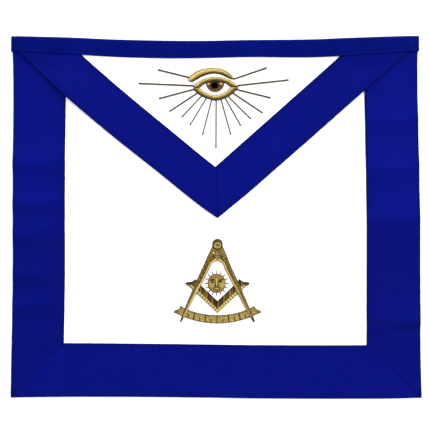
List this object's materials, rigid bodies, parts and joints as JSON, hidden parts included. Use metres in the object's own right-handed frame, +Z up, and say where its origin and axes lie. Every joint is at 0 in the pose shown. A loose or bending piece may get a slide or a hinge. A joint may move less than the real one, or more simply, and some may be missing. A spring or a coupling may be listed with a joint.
{
  "type": "masonic apron",
  "caption": "White cloth apron with blue ribbon borders, a three-cornered flap and a waistband, and padded gold embroidery of an eye, compasses, a square, an arc and a sun.",
  "frame": {"origin": "under the middle of the apron's box, on the surface that it lies on", "axes": "+X to the right of someone facing the apron, +Y towards the waistband, +Z up out of its face"},
  "size_m": [0.411, 0.3622, 0.0086],
  "materials": {
    "white_cloth": "close white weave",
    "blue_ribbon": "fine ribbed grosgrain",
    "gold_bullion": "coiled gold wire over padding",
    "dark_gold_wire": "twisted dull gold wire",
    "brown_thread": "copper brown silk",
    "black_thread": "black silk"
  },
  "bodies": {
    "root": {"body_panel": "white_cloth", "flap_panel": "white_cloth", "border_left": "blue_ribbon", "border_right": "blue_ribbon", "border_bottom": "blue_ribbon", "flap_border_left": "blue_ribbon", "flap_border_right": "blue_ribbon", "waistband": "blue_ribbon", "eyebrow": "gold_bullion", "upper_eyelid": "gold_bullion", "lower_eyelid": "gold_bullion", "iris": "brown_thread", "pupil": "black_thread", "compass_knob": "gold_bullion", "compass_leg_left": "gold_bullion", "compass_leg_right": "gold_bullion", "square": "gold_bullion", "quadrant": "gold_bullion", "sun_face": "gold_bullion", "eye_ray_01": "dark_gold_wire", "eye_ray_02": "dark_gold_wire", "eye_ray_03": "dark_gold_wire", "eye_ray_04": "dark_gold_wire", "eye_ray_05": "dark_gold_wire", "eye_ray_06": "dark_gold_wire", "eye_ray_07": "dark_gold_wire", "eye_ray_08": "dark_gold_wire", "eye_ray_09": "dark_gold_wire", "eye_ray_10": "dark_gold_wire", "eye_ray_11": "dark_gold_wire", "eye_ray_12": "dark_gold_wire", "eye_ray_13": "dark_gold_wire", "eye_ray_14": "dark_gold_wire", "eye_ray_15": "dark_gold_wire", "sun_ray_01": "gold_bullion", "sun_ray_02": "gold_bullion", "sun_ray_03": "gold_bullion", "sun_ray_04": "gold_bullion", "sun_ray_05": "gold_bullion", "sun_ray_06": "gold_bullion", "sun_ray_07": "gold_bullion", "sun_ray_08": "gold_bullion", "sun_ray_09": "gold_bullion", "sun_ray_10": "gold_bullion", "sun_ray_11": "gold_bullion", "sun_ray_12": "gold_bullion", "sun_ray_13": "gold_bullion", "sun_ray_14": "gold_bullion", "sun_ray_15": "gold_bullion", "sun_ray_16": "gold_bullion"}
  },
  "joints": []
}
